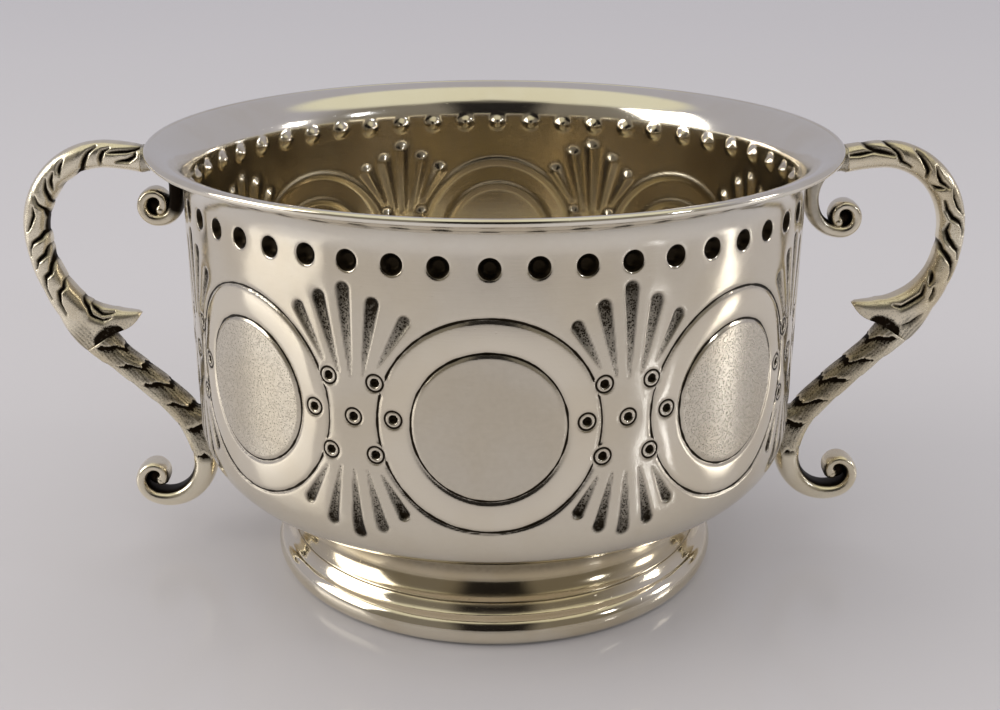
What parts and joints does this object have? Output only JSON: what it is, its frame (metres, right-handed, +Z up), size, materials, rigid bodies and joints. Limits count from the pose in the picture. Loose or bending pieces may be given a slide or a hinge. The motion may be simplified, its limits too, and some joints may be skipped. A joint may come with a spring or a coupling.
{
  "type": "silver caudle cup",
  "caption": "Low two-handled silver drinking cup: straight chased bowl with flared lip and a row of dimples, waisted collet foot, cast leaf-scroll handles with a spur and scaled stem.",
  "frame": {"origin": "centre of the ring that the foot stands on, on the axis of the bowl", "axes": "+Z up along the axis of the bowl, +X towards the right handle, -Y towards the viewer"},
  "size_m": [0.1406, 0.1, 0.0657],
  "materials": {
    "silver_chased": "polished, dark in the chased recesses",
    "silver_plain": "polished",
    "silver_solder": "dull",
    "silver_cast": "cast, dark in the folds and rubbed bright on top",
    "silver_curl": "polished outside, dark inside the curl"
  },
  "bodies": {
    "root": {"bowl": "silver_chased", "rim_wire": "silver_plain", "foot_collet": "silver_plain", "base_wire": "silver_plain", "foot_solder": "silver_solder", "right_scroll": "silver_cast", "right_stem": "silver_cast", "right_volute": "silver_curl", "left_scroll": "silver_cast", "left_stem": "silver_cast", "left_volute": "silver_curl"}
  },
  "joints": []
}
